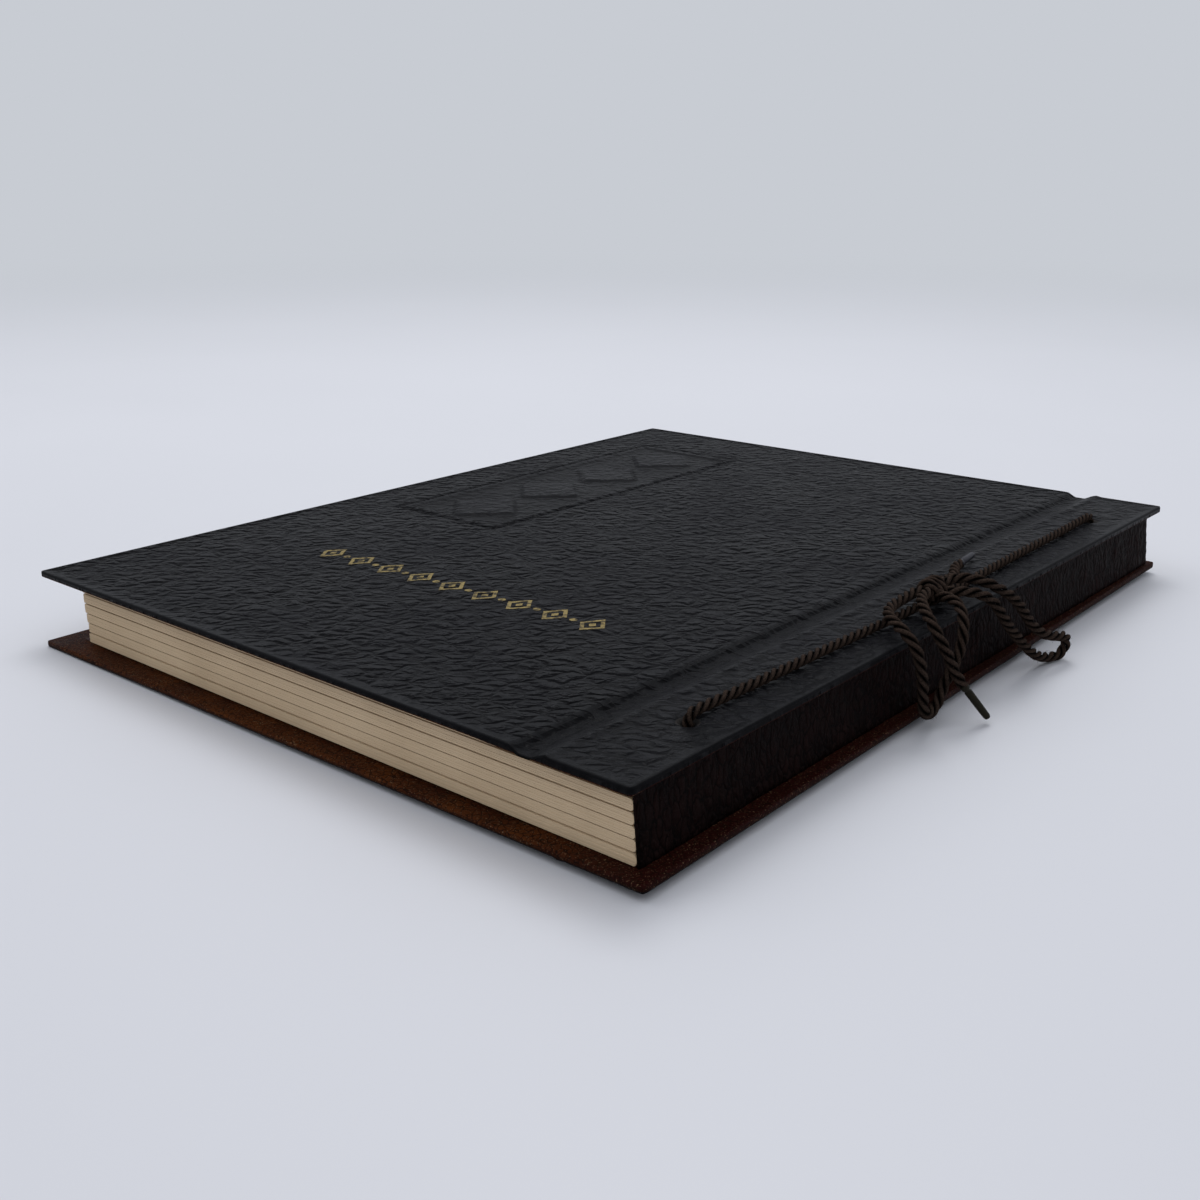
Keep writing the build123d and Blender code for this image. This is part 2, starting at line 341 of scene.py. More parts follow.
# The floor fades into the surroundings, for the camera alone
def makeFloor(look):
    half = look["floorHalf"]
    corners = [(-half, -half, 0), (half, -half, 0), (half, half, 0), (-half, half, 0)]
    floor = addObject("floor", newMesh("floor", corners, [], [(0, 1, 2, 3)]))
    material, tree, shader, place = newMaterial("paleFloor", Roughness=look["floorRough"])
    cloud = clouds(tree, place, look["cloudSize"], detail=2.0)
    wire(tree, shader, Base_Color=mixColour(tree, cloud, look["floor"], look["floorCloud"]))
    away = vectorCalc(tree, "DISTANCE", place, (0.0, 0.0, 0.0))
    fade = spread(tree, away, *look["fadeRange"], shape="SMOOTHSTEP")
    byCamera = addNode(tree, "ShaderNodeLightPath").outputs["Is Camera Ray"]
    haze = addNode(tree, "ShaderNodeEmission", {"Color": linear(look["surround"])}).outputs[0]
    mixed = mixShader(tree, calc(tree, "MULTIPLY", fade, byCamera), shader.outputs[0], haze)
    tree.links.new(mixed, tree.nodes["Material Output"].inputs["Surface"])
    floor.data.materials.append(material)


# The room is seen and mirrored plain, and lights more from above
def makeWorld(look):
    scene.world = bpy.data.worlds.new("paleRoom")
    scene.world.use_nodes = True
    tree = scene.world.node_tree
    tree.nodes.clear()
    rays = addNode(tree, "ShaderNodeLightPath").outputs
    seen = calc(tree, "MAXIMUM", rays["Is Camera Ray"], rays["Is Glossy Ray"])
    towards = addNode(tree, "ShaderNodeTexCoord").outputs["Generated"]
    lift = addNode(tree, "ShaderNodeSeparateXYZ", {0: towards}).outputs["Z"]
    light = addNode(tree, "ShaderNodeBackground", {
        "Color": linear(look["worldLight"]), "Strength": spread(tree, lift, 0.0, 1.0, *look["sky"])})
    shown = addNode(tree, "ShaderNodeBackground", {"Color": linear(look["surround"]), "Strength": 1.0})
    addNode(tree, "ShaderNodeOutputWorld", {
        "Surface": mixShader(tree, seen, light.outputs[0], shown.outputs[0])})


def makeLamps(look):
    for name, lamp in look["lamps"].items():
        data = bpy.data.lights.new(name, "AREA")
        data.size = lamp["size"]
        data.energy = lamp["power"]
        lampObject = addObject(name, data)
        lampObject.location = lamp["place"]
        lampObject.rotation_euler = (-Vector(lamp["place"])).to_track_quat("-Z", "Y").to_euler()


makeCamera(stageLook)
makeFloor(stageLook)
makeWorld(stageLook)
makeLamps(stageLook)
print("stage and camera made")

# The book's own frame, in millimetres from the front hinge: to the spine, to the tail, outwards
binding = {
    "coverWidth": 222.5, "coverHeight": 287.0, "coverThickness": 2.0, "cornerRadius": 1.6,
    "grooveInset": 28.0, "liningThickness": 0.3, "blockWidth": 204.5, "blockHeight": 277.5,
    "blockTop": -2.1, "blockThickness": 17.7, "spineOverhang": 3.0, "spineLean": 1.5,
    "holeInset": 11.8, "holeSpacing": 220.0, "holeDiameter": 5.5, "backInside": -21.0}
joints = {joint["name"]: joint for joint in record["behaviour"]["joints"]}
restAxis = Vector(record["mounts"][0]["axis"])


def hingeFrame(joint, out):
    along = Vector(joint["axis"])
    if along.y < 0:
        along.negate()
    toSpine = along.cross(out).normalized()
    if toSpine.x < 0:
        toSpine.negate()
    columns = Matrix((toSpine, along, out)).transposed().to_4x4()
    return Matrix.Translation(joint["pos_m"]) @ columns @ Matrix.Scale(mm, 4)


frontFrame = hingeFrame(joints["front_cover_hinge"], -restAxis)
backFrame = hingeFrame(joints["back_cover_hinge"], restAxis)


def placed(points, place):
    matrix = np.array(place)
    return np.asarray(points, dtype=float) @ matrix[:3, :3].T + matrix[:3, 3]


def addPiece(name, verts, faces, materials, body, attributes=None, faceMaterials=None):
    mesh = newMesh(name, [tuple(v) for v in verts], [], faces)
    for material in materials:
        mesh.materials.append(material)
    if faceMaterials is not None:
        mesh.polygons.foreach_set("material_index", faceMaterials)
    for key, values in (attributes or {}).items():
        mesh.attributes.new(key, "FLOAT", "POINT").data.foreach_set("value", values)
    mesh.polygons.foreach_set("use_smooth", [True] * len(mesh.polygons))
    mesh.update()
    piece = addObject(name, mesh)
    if body:
        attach(piece, body)
    return piece


# Quads between two closed rings of points
def ringFaces(first, second):
    afters = [(at + 1) % len(first) for at in range(len(first))]
    return [(first[at], first[after], second[after], second[at]) for at, after in enumerate(afters)]


def removeObject(holder):
    mesh = holder.data
    bpy.data.objects.remove(holder)
    bpy.data.meshes.remove(mesh)


# Runs a node tree on an object and keeps the result as its plain mesh
def bakeNodes(piece, tree, values):
    modifier = piece.modifiers.new("nodes", "NODES")
    modifier.node_group = tree
    sockets = [item for item in tree.interface.items_tree if item.in_out == "INPUT"]
    identifiers = {item.name: item.identifier for item in sockets}
    for name, value in values.items():
        modifier[identifiers[name]] = value
    depsgraph = bpy.context.evaluated_depsgraph_get()
    mesh = bpy.data.meshes.new_from_object(piece.evaluated_get(depsgraph))
    old = piece.data
    piece.modifiers.clear()
    piece.data = mesh
    mesh.name = piece.name
    bpy.data.meshes.remove(old)


def newTree(name, sockets):
    tree = bpy.data.node_groups.new(name, "GeometryNodeTree")
    tree.interface.new_socket("Geometry", in_out="OUTPUT", socket_type="NodeSocketGeometry")
    for socketName, kind in sockets.items():
        tree.interface.new_socket(socketName, in_out="INPUT", socket_type="NodeSocket" + kind)
    return tree, addNode(tree, "NodeGroupInput").outputs


# Ends a tree with its material and its output
def endTree(tree, given, shape):
    done = geometry(tree, "SetMaterial", {"Geometry": shape, "Material": given["Material"]})
    addNode(tree, "NodeGroupOutput", {"Geometry": done})
    return tree


# Copies of one object in a row
def rowOfCopies(tree, given, source):
    ends = {"Start Location": given["First"], "Offset": given["Offset"]}
    line = geometry(tree, "MeshLine", {"Count": given["Count"], **ends}, mode="OFFSET")
    original = addNode(tree, "GeometryNodeObjectInfo", {"Object": given[source]}).outputs["Geometry"]
    return geometry(tree, "InstanceOnPoints", {"Points": line, "Instance": original})


# Rope: sizes as shares of the cord's diameter, and loose fibres; a pitch below zero twists left
ropeLook = {
    "strands": 3, "strandShare": 0.212, "windingShare": 0.288, "pitchShare": -3.5, "step": 0.45,
    "strandSides": 10, "crownShares": (0.66, 1.0), "fuzzDensity": 1.0, "fuzzLength": 1.0,
    "fuzzLengthShares": (0.3, 1.0), "fuzzRadius": 0.02, "fuzzSides": 3, "fuzzTilt": 1.2, "fuzzFloor": 1.2,
    "seed": 5}


# Strands of round yarn wound round the path, marked with how far out each point lies
def woundStrands(tree, given):
    path = geometry(tree, "MeshToCurve", {"Mesh": given["Geometry"]})
    even = geometry(tree, "ResampleCurve", {"Curve": path, "Length": given["Step"]}, mode="LENGTH")
    strands = addNode(tree, "GeometryNodeDuplicateElements", {
        "Geometry": even, "Amount": given["Strands"]}, domain="SPLINE").outputs
    length = addNode(tree, "GeometryNodeSplineParameter").outputs["Length"]
    turns = calc(tree, "DIVIDE", length, given["Winding Pitch"])
    start = calc(tree, "DIVIDE", strands["Duplicate Index"], given["Strands"])
    angle = calc(tree, "MULTIPLY", calc(tree, "ADD", turns, start), math.tau)
    normal = geometry(tree, "InputNormal")
    side = vectorCalc(tree, "CROSS_PRODUCT", geometry(tree, "InputTangent"), normal)
    across = vectorCalc(tree, "SCALE", normal, calc(tree, "COSINE", angle))
    upwards = vectorCalc(tree, "SCALE", side, calc(tree, "SINE", angle))
    outwards = vectorCalc(tree, "ADD", across, upwards)
    place = geometry(tree, "InputPosition")
    centred = geometry(tree, "StoreNamedAttribute", {
        "Geometry": strands["Geometry"], "Name": "axis", "Value": place}, data_type="FLOAT_VECTOR")
    wound = geometry(tree, "SetPosition", {
        "Geometry": centred, "Offset": vectorCalc(tree, "SCALE", outwards, given["Winding Radius"])})
    section = geometry(tree, "CurvePrimitiveCircle", {
        "Resolution": ropeLook["strandSides"], "Radius": given["Strand Radius"]})
    yarn = geometry(tree, "CurveToMesh", {"Curve": wound, "Profile Curve": section, "Fill Caps": True})
    axis = geometry(tree, "InputNamedAttribute", {"Name": "axis"}, data_type="FLOAT_VECTOR")
    ropeRadius = calc(tree, "ADD", given["Winding Radius"], given["Strand Radius"])
    reach = calc(tree, "DIVIDE", vectorCalc(tree, "DISTANCE", place, axis), ropeRadius)
    return geometry(tree, "StoreNamedAttribute", {
        "Geometry": yarn, "Name": "crown",
        "Value": spread(tree, reach, *ropeLook["crownShares"], shape="SMOOTHSTEP")}, data_type="FLOAT")


# Loose fibres that stand on the strands, off the floor
def looseFibres(tree, given, strands):
    height = addNode(tree, "ShaderNodeSeparateXYZ", {0: geometry(tree, "InputPosition")}).outputs["Z"]
    clear = addNode(tree, "FunctionNodeCompare", {
        0: height, 1: given["Fuzz Floor"]}, data_type="FLOAT", operation="GREATER_THAN").outputs[0]
    roots = addNode(tree, "GeometryNodeDistributePointsOnFaces", {
        "Mesh": strands, "Selection": clear, "Density": given["Fuzz Density"],
        "Seed": given["Seed"]}).outputs
    stem = geometry(tree, "CurvePrimitiveLine", {"End": (0.0, 0.0, 1.0)})
    section = geometry(tree, "CurvePrimitiveCircle", {"Resolution": ropeLook["fuzzSides"], "Radius": 1.0})
    hair = geometry(tree, "CurveToMesh", {"Curve": stem, "Profile Curve": section})
    shortest, longest = ropeLook["fuzzLengthShares"]
    share = addNode(tree, "FunctionNodeRandomValue", {
        2: shortest, 3: longest, "Seed": given["Seed"]}, data_type="FLOAT").outputs[1]
    size = addNode(tree, "ShaderNodeCombineXYZ", {
        "X": given["Fuzz Radius"], "Y": given["Fuzz Radius"],
        "Z": calc(tree, "MULTIPLY", given["Fuzz Length"], share)}).outputs[0]
    hairs = geometry(tree, "InstanceOnPoints", {
        "Points": roots["Points"], "Instance": hair, "Rotation": roots["Rotation"], "Scale": size})
    most = ropeLook["fuzzTilt"]
    tilt = addNode(tree, "FunctionNodeRandomValue", {
        0: (-most, -most, 0.0), 1: (most, most, 0.0), "Seed": given["Seed"]}, data_type="FLOAT_VECTOR")
    return geometry(tree, "RotateInstances", {"Instances": hairs, "Rotation": tilt.outputs[0]})


def ropeTree():
    tree, given = newTree("twistedStrands", {
        "Geometry": "Geometry", "Strands": "Int", "Strand Radius": "Float", "Winding Radius": "Float",
        "Winding Pitch": "Float", "Step": "Float", "Fuzz Density": "Float", "Fuzz Length": "Float",
        "Fuzz Radius": "Float", "Fuzz Floor": "Float", "Seed": "Int", "Material": "Material"})
    strands = woundStrands(tree, given)
    fuzzy = addNode(tree, "GeometryNodeJoinGeometry", {0: strands})
    tree.links.new(looseFibres(tree, given, strands), fuzzy.inputs[0])
    plain = geometry(tree, "RemoveAttribute", {"Geometry": fuzzy.outputs[0], "Name": "axis"})
    smooth = geometry(tree, "SetShadeSmooth", {"Geometry": plain})
    return endTree(tree, given, geometry(tree, "RealizeInstances", {"Geometry": smooth}))


strandTree = ropeTree()


# Points of the smooth curve that a route's control points lead
def splinePoints(name, controls):
    curve = bpy.data.curves.new(name, "CURVE")
    curve.dimensions = "3D"
    spline = curve.splines.new("NURBS")
    spline.points.add(len(controls) - 1)
    for point, place in zip(spline.points, controls):
        point.co = (*place, 1.0)
    spline.order_u = 3
    spline.use_endpoint_u = True
    spline.resolution_u = 10
    holder = addObject(name, curve)
    mesh = bpy.data.meshes.new_from_object(holder)
    points = [vertex.co.copy() for vertex in mesh.vertices]
    bpy.data.meshes.remove(mesh)
    bpy.data.objects.remove(holder)
    bpy.data.curves.remove(curve)
    return points


def ropePiece(name, path, diameter, node, fuzzDensity=ropeLook["fuzzDensity"]):
    edges = [(at, at + 1) for at in range(len(path) - 1)]
    piece = addObject(name, newMesh(name, path, edges, []))
    bakeNodes(piece, strandTree, {
        "Strands": ropeLook["strands"], "Strand Radius": diameter * ropeLook["strandShare"] * mm,
        "Winding Radius": diameter * ropeLook["windingShare"] * mm,
        "Winding Pitch": diameter * ropeLook["pitchShare"] * mm, "Step": ropeLook["step"] * mm,
        "Fuzz Density": fuzzDensity / mm ** 2, "Fuzz Length": ropeLook["fuzzLength"] * mm,
        "Fuzz Radius": ropeLook["fuzzRadius"] * mm, "Fuzz Floor": ropeLook["fuzzFloor"] * mm,
        "Seed": ropeLook["seed"], "Material": twistedCord})
    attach(piece, "bound_block")
    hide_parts(node)
    return piece


def pathLength(path):
    return sum((after - before).length for before, after in zip(path, path[1:]))


# Cord: laced runs on the strip, the knot's turns, two loops and two ends, on part.py's routes
cords = {
    "lacedDiameter": 2.6, "bowDiameter": 3.0, "clearance": 0.1,
    "knotInset": 9.3, "knotToHead": 5.7, "knotTurns": 3, "knotRadius": 2.4, "knotSteps": 24,
    "knotStart": -0.6, "knotEdge": 4.6, "knotTuck": 3.5, "knotRise": 0.8,
    "swayShares": (0.2, 0.45, 0.7), "sways": (0.15, -0.2, 0.2), "swaySink": 0.05,
    "lipRuns": (4.0, 0.4), "lipSink": 0.1, "holeSink": 3.2, "holeDepths": (-10.0, -21.6),
    "flatWidth": 3.2, "flatHeight": 1.8, "flatTop": -21.9, "flatSteps": 40}
routes = {
    "bowLoopHead": [
        (99.6, -6.0, 28.2), (98.1, -9.5, 28.4), (98.4, -16.4, 28.1), (98.6, -23.2, 28.0),
        (101.0, -30.2, 28.1), (105.6, -35.0, 28.1), (110.0, -37.4, 27.2), (113.4, -37.6, 24.2),
        (114.7, -36.2, 18.8), (114.6, -34.2, 11.8), (114.3, -32.2, 4.1), (114.0, -25.6, 3.9),
        (114.1, -22.4, 9.0), (114.6, -19.0, 13.2), (115.3, -16.8, 17.6), (115.4, -15.6, 22.2),
        (113.8, -13.6, 26.3), (109.8, -9.6, 28.2), (105.0, -7.2, 27.9), (101.5, -6.0, 27.6)],
    "bowLoopTail": [
        (100.4, -3.0, 28.4), (101.2, 0.6, 29.0), (101.9, 3.8, 29.6), (105.4, 6.2, 29.9), (109.6, 7.8, 29.2),
        (112.6, 10.0, 27.4), (114.4, 13.6, 25.0), (115.4, 17.7, 21.6), (116.0, 21.6, 17.5),
        (116.8, 25.2, 13.6), (118.2, 29.6, 10.4), (119.6, 35.2, 8.6), (120.8, 41.6, 7.4),
        (119.9, 41.2, 1.7), (118.2, 35.6, 1.7), (117.3, 28.4, 4.0), (116.3, 22.4, 8.4),
        (115.7, 16.6, 13.0), (115.2, 11.0, 17.8), (114.6, 7.0, 22.4), (112.8, 4.6, 26.0),
        (109.4, 1.2, 28.0), (105.0, -2.2, 27.9), (101.5, -3.4, 27.6)],
    "cordEndHead": [
        (100.8, -6.8, 28.2), (101.5, -9.7, 28.6), (102.4, -15.2, 28.8), (106.4, -21.4, 28.6),
        (111.0, -26.0, 27.2), (114.2, -27.0, 24.0), (116.0, -25.8, 20.0), (117.2, -24.4, 16.2),
        (118.2, -23.4, 13.3), (119.4, -22.0, 11.0)],
    "cordEndTail": [
        (99.2, -2.0, 28.6), (97.9, 0.5, 28.9), (96.9, 7.2, 26.9), (96.6, 14.0, 25.9), (94.8, 20.2, 25.6),
        (91.8, 25.0, 25.5), (91.0, 30.6, 25.4)]}
cordNodes = {
    "bowLoopHead": "bow_loop_head", "bowLoopTail": "bow_loop_tail",
    "cordEndHead": "cord_end_head", "cordEndTail": "cord_end_tail"}
knotAcross = binding["grooveInset"] - cords["knotInset"]
holeAcross = binding["grooveInset"] - binding["holeInset"]


# From under the knot along the strip, over the hole's lip and down; sign is -1 to the head
def lacedPath(name, sign):
    level = cords["lacedDiameter"] / 2 + cords["clearance"]
    knotEnd = -cords["knotToHead"] + sign * cords["knotEdge"]
    hole = sign * binding["holeSpacing"] / 2
    controls = [(knotAcross, knotEnd - sign * cords["knotTuck"], level + cords["knotRise"]),
                (knotAcross, knotEnd, level)]
    for share, sway in zip(cords["swayShares"], cords["sways"]):
        controls.append((knotAcross + share * (holeAcross - knotAcross) + sway,
                         knotEnd + share * (hole - knotEnd), level - cords["swaySink"]))
    farLip, nearLip = cords["lipRuns"]
    controls += [(holeAcross, hole - sign * farLip, level),
                 (holeAcross, hole - sign * nearLip, level - cords["lipSink"]),
                 (holeAcross, hole, level - cords["holeSink"])]
    controls += [(holeAcross, hole, depth) for depth in cords["holeDepths"]]
    return splinePoints(name, placed(controls, frontFrame))


# Straight run under the back cover, pressed flat by the book
def makeBackRun():
    diameter = cords["lacedDiameter"]
    level = cords["flatTop"] - cords["flatHeight"] / 2
    half = binding["holeSpacing"] / 2
    steps = cords["flatSteps"]
    alongs = [-half + (at / steps) * 2 * half for at in range(steps + 1)]
    path = placed([(holeAcross, along, level) for along in alongs], frontFrame)
    piece = ropePiece("lacingBackRun", [Vector(p) for p in path], diameter, "lacing_back_run",
                      fuzzDensity=0.0)
    points = placed([vertex.co for vertex in piece.data.vertices], frontFrame.inverted())
    points[:, 0] = holeAcross + (points[:, 0] - holeAcross) * cords["flatWidth"] / diameter
    points[:, 2] = level + (points[:, 2] - level) * cords["flatHeight"] / diameter
    piece.data.vertices.foreach_set("co", placed(points, frontFrame).ravel())
    piece.data.update()


def makeKnot():
    turns = cords["knotTurns"]
    steps = cords["knotSteps"] * turns
    radius = cords["knotRadius"]
    middle = radius + cords["bowDiameter"] / 2 + cords["clearance"]
    coil = []
    for at in range(steps + 1):
        angle = math.tau * turns * at / steps + cords["knotStart"]
        along = (at / steps - 0.5) * cords["bowDiameter"] * (turns - 1) - cords["knotToHead"]
        coil.append((knotAcross + radius * math.cos(angle), along, middle + radius * math.sin(angle)))
    ropePiece("bowKnot", [Vector(p) for p in placed(coil, frontFrame)], cords["bowDiameter"], "bow_knot")


# Tip: places along and radii of a turned profile, pinched where it is crimped on
tip = {
    "profile": ((-0.2, 0.8), (-0.2, 1.1), (0.3, 1.16), (1.2, 1.14), (1.6, 0.92), (2.0, 0.9), (2.4, 1.02),
                (6.0, 1.0), (9.8, 0.96), (11.2, 0.92), (11.8, 0.8), (12.0, 0.5)),
    "segments": 20, "crimp": (1.5, 2.3), "crimpShare": 0.9}


def makeTip(name, route, material, node):
    segments = tip["segments"]
    before, end = [Vector(p) * mm for p in route[-2:]]
    direction = (end - before).normalized()
    side = direction.orthogonal().normalized()
    other = direction.cross(side)
    verts = []
    for along, radius in tip["profile"]:
        pinch = tip["crimpShare"] if tip["crimp"][0] < along < tip["crimp"][1] else 1.0
        for at in range(segments):
            angle = math.tau * at / segments
            outwards = side * math.cos(angle) * pinch + other * math.sin(angle)
            verts.append(end + direction * along * mm + outwards * radius * mm)
    rings = [range(start, start + segments) for start in range(0, len(verts), segments)]
    faces = []
    for ring, nextRing in zip(rings, rings[1:]):
        faces += ringFaces(ring, nextRing)
    faces += [tuple(reversed(rings[0])), tuple(rings[-1])]
    piece = addPiece(name, verts, faces, [material], "bound_block")
    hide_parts(node)
    return piece


def makeCords():
    ropePiece("lacingHeadRun", lacedPath("headRun", -1), cords["lacedDiameter"], "lacing_head_run")
    ropePiece("lacingTailRun", lacedPath("tailRun", 1), cords["lacedDiameter"], "lacing_tail_run")
    makeBackRun()
    makeKnot()
    tips = {"cordEndHead": makeTip("cordTipHead", routes["cordEndHead"], oliveTip, "cord_tip_head"),
            "cordEndTail": makeTip("cordTipTail", routes["cordEndTail"], paleTip, "cord_tip_tail")}
    for name, route in routes.items():
        path = splinePoints(name, [Vector(p) * mm for p in route])
        piece = ropePiece(name, path, cords["bowDiameter"], cordNodes[name])
        print(name, "length mm", round(pathLength(path) / mm, 1))


makeCords()
print("cords made")

# Covers: board, leather and groove as one skin each, the leather sunk into the groove at the hinge
covers = {
    "step": 1.1, "backStep": 2.0, "innerStep": 10.0, "rimLines": (0, 0.1, 0.28, 0.55, 0.9, 1.5),
    "edgeRadius": 0.55, "innerRadius": 0.4, "calmRim": (0.8, 3.5), "rimWearAndShade": (0.1, 1.2),
    "rimShadeShare": 0.3, "leastGrainShare": 0.12, "stripGrainShare": 0.48,
    "swellSize": 5.0, "swellDepth": 0.3, "swellLayers": (0.8, 2.1, 3), "swellSeed": 3.7, "swellGain": 0.6,
    "grooveHalf": 5.0, "grooveDepth": 1.45, "grooveWall": (-5.4, -1.4), "grooveRise": (0.8, 4.8),
    "grooveEnds": (0.5, 4.0), "grooveStep": 0.6, "grooveSteps": (-8, 11), "grooveInside": 0.05,
    "grooveCalmShare": 0.8, "grooveShadeShare": 0.35, "wallShadeShare": 0.65, "blendInset": 1.0,
    "ridgeAt": 5.6, "ridgeWidth": 0.8, "ridgeRise": 0.28,
    "holeGrid": 1.1, "holeShares": (-1, -0.5, 0, 0.5, 1), "holeReach": 5.0, "holeThroat": 0.8,
    "holeDent": 0.4, "holeRoll": 0.8, "ringTolerance": 0.001,
    "pressedCentre": (-150.0, 43.5), "pressedSize": (40.0, 130.0), "pressedDepth": 0.45, "pressedSoft": 0.5,
    "pressedCalmShare": 0.8, "pressedShadeShare": 0.75, "lineGap": 2.4, "lineWidth": 1.2,
    "lozenges": 4, "lozengeShares": (0.7, 0.86), "lozengeEdgeShares": (0.94, 1.06)}
coverLow = binding["grooveInset"] - binding["coverWidth"]
coverHigh = binding["grooveInset"]
coverMiddle = (coverLow + coverHigh) / 2
halfWide = binding["coverWidth"] / 2
halfTall = binding["coverHeight"] / 2


# Fixed lines, with even lines between them no further apart than the step
def gridLines(fixed, step):
    fixed = sorted(set(round(value, 4) for value in fixed))
    lines = [fixed[0]]
    for low, high in zip(fixed, fixed[1:]):
        count = max(1, math.ceil((high - low) / step - tiny))
        lines += [low + (high - low) * (at + 1) / count for at in range(count)]
    return np.array(lines)


# Grid points round a grid's rim, in order
def gridRim(rows, columns):
    rim = [(i, 0) for i in range(rows - 1)]
    rim += [(rows - 1, j) for j in range(columns - 1)]
    rim += [(i, columns - 1) for i in range(rows - 1, 0, -1)]
    rim += [(0, j) for j in range(columns - 1, 0, -1)]
    return rim


# Fall of a rolled edge at this distance from the rim
def edgeDrop(inset, radius):
    return radius - np.sqrt(np.maximum(0, radius ** 2 - np.maximum(0, radius - inset) ** 2))


# Slow swell of the leather over its board, 0 to 1
def leatherSwell(across, along):
    size = covers["swellSize"]
    swell = np.empty(across.shape)
    for index in np.ndindex(across.shape):
        spot = (across[index] / size, along[index] / size, covers["swellSeed"])
        swell[index] = noise.fractal(spot, *covers["swellLayers"])
    return np.clip(0.5 + covers["swellGain"] * swell, 0, 1)


# Distance out of the pressed panel's field, less than zero inside it
def outOfField(across, along):
    u = np.abs(across - covers["pressedCentre"][0]) - covers["pressedSize"][0] / 2
    v = np.abs(along - covers["pressedCentre"][1]) - covers["pressedSize"][1] / 2
    return np.maximum(u, v)


# Pressed panel's depth share: line and field sunk, lozenges left standing
def pressedShare(across, along):
    soft = covers["pressedSoft"]
    halfLine = covers["lineWidth"] / 2
    outside = outOfField(across, along)
    field = 1 - smoothStep(-soft, soft, outside)
    fromLine = np.abs(outside - covers["lineGap"] - halfLine)
    line = 1 - smoothStep(halfLine - soft, halfLine + soft, fromLine)
    pitch = covers["pressedSize"][1] / covers["lozenges"]
    fromStart = along - covers["pressedCentre"][1] + covers["pressedSize"][1] / 2
    fromMiddle = np.abs(fromStart % pitch - pitch / 2)
    wide = covers["pressedSize"][0] / 2 * covers["lozengeShares"][0]
    tall = pitch / 2 * covers["lozengeShares"][1]
    diamond = np.abs(across - covers["pressedCentre"][0]) / wide + fromMiddle / tall
    standing = 1 - smoothStep(*covers["lozengeEdgeShares"], diamond)
    return np.maximum(line, field * (1 - standing))


# Outer side: height, share of grain and share of darkening at each grid point: burnished in the pressed
# panel, painted shade in the groove and towards the rim
def outerSide(across, along, inset, isFront):
    pressed = pressedShare(across, along) if isFront else np.zeros(across.shape)
    panel = 1 - smoothStep(0, covers["lineGap"] + covers["lineWidth"], outOfField(across, along))
    wall = smoothStep(*covers["grooveWall"], across)
    steep = 4 * wall * (1 - wall)
    valley = wall * (1 - smoothStep(*covers["grooveRise"], across))
    if not isFront:
        valley = valley * smoothStep(*covers["grooveEnds"], halfTall - np.abs(along))
    calm = smoothStep(*covers["calmRim"], inset) * (1 - covers["pressedCalmShare"] * panel)
    calm = calm * (1 - covers["grooveCalmShare"] * np.maximum(valley, steep))
    height = -edgeDrop(inset, covers["edgeRadius"])
    height -= covers["grooveDepth"] * valley + covers["pressedDepth"] * pressed
    height -= calm * covers["swellDepth"] * (1 - leatherSwell(across, along))
    height += covers["ridgeRise"] * np.exp(-((across - covers["ridgeAt"]) / covers["ridgeWidth"]) ** 2)
    clearOfRim = smoothStep(*covers["rimWearAndShade"], inset)
    least = covers["leastGrainShare"]
    grain = (least + (1 - least) * calm) * np.where(across > 0, covers["stripGrainShare"], 1.0) * clearOfRim
    # Painted shade: darker in the groove's valley, darker still on its steep wall, and towards the rim,
    # where the grain is also rubbed down
    shade = 1 - covers["pressedShadeShare"] * pressed - covers["grooveShadeShare"] * valley
    shade = np.maximum(0, shade - covers["wallShadeShare"] * steep)
    rimShade = covers["rimShadeShare"]
    return height, grain, shade * (rimShade + (1 - rimShade) * clearOfRim)


# Inner side: sunk under the lining, thin in the groove
def innerSide(across, inset):
    lift = np.where(across > -covers["grooveHalf"], covers["grooveInside"], binding["liningThickness"])
    lift = np.where(across > covers["grooveHalf"], 0, lift)
    height = lift - binding["coverThickness"] + edgeDrop(inset, covers["innerRadius"])
    return height, np.ones(across.shape), np.ones(across.shape)


# Grid points drawn in round the cover's corners
def roundCorners(across, along):
    corner = binding["cornerRadius"]
    u = (np.abs(across - coverMiddle) - (halfWide - corner)) / corner
    v = (np.abs(along) - (halfTall - corner)) / corner
    atCorner = (u > 0) & (v > 0)
    wide = halfWide - corner + corner * u * np.sqrt(np.maximum(0, 1 - v ** 2 / 2))
    tall = halfTall - corner + corner * v * np.sqrt(np.maximum(0, 1 - u ** 2 / 2))
    return (np.where(atCorner, coverMiddle + np.sign(across - coverMiddle) * wide, across),
            np.where(atCorner, np.sign(along) * tall, along))


# Square ring of the grid about a hole that each grid point lies on
def ringAbout(across, along, hole):
    return np.maximum(np.abs(across - hole[0]), np.abs(along - hole[1]))


# Grid points drawn into rings round each hole, and how much the leather is pulled down there
def openHoles(across, along, a, b, holes, radius):
    start = covers["holeGrid"]
    reach = covers["holeReach"]
    dent = np.zeros(across.shape)
    for hole in holes:
        ring = ringAbout(across, along, hole)
        toA = across - hole[0]
        toB = along - hole[1]
        stretch = (radius + ring - start) / np.maximum(np.hypot(toA, toB), tiny)
        share = np.clip((ring - start) / (reach - start), 0, 1)
        near = ring < reach
        a = np.where(near, (1 - share) * (hole[0] + toA * stretch) + share * a, a)
        b = np.where(near, (1 - share) * (hole[1] + toB * stretch) + share * b, b)
        away = np.maximum(np.hypot(a - hole[0], b - hole[1]) - radius, 0)
        dent += np.where(near, np.exp(-away / covers["holeRoll"]), 0)
    return a, b, dent


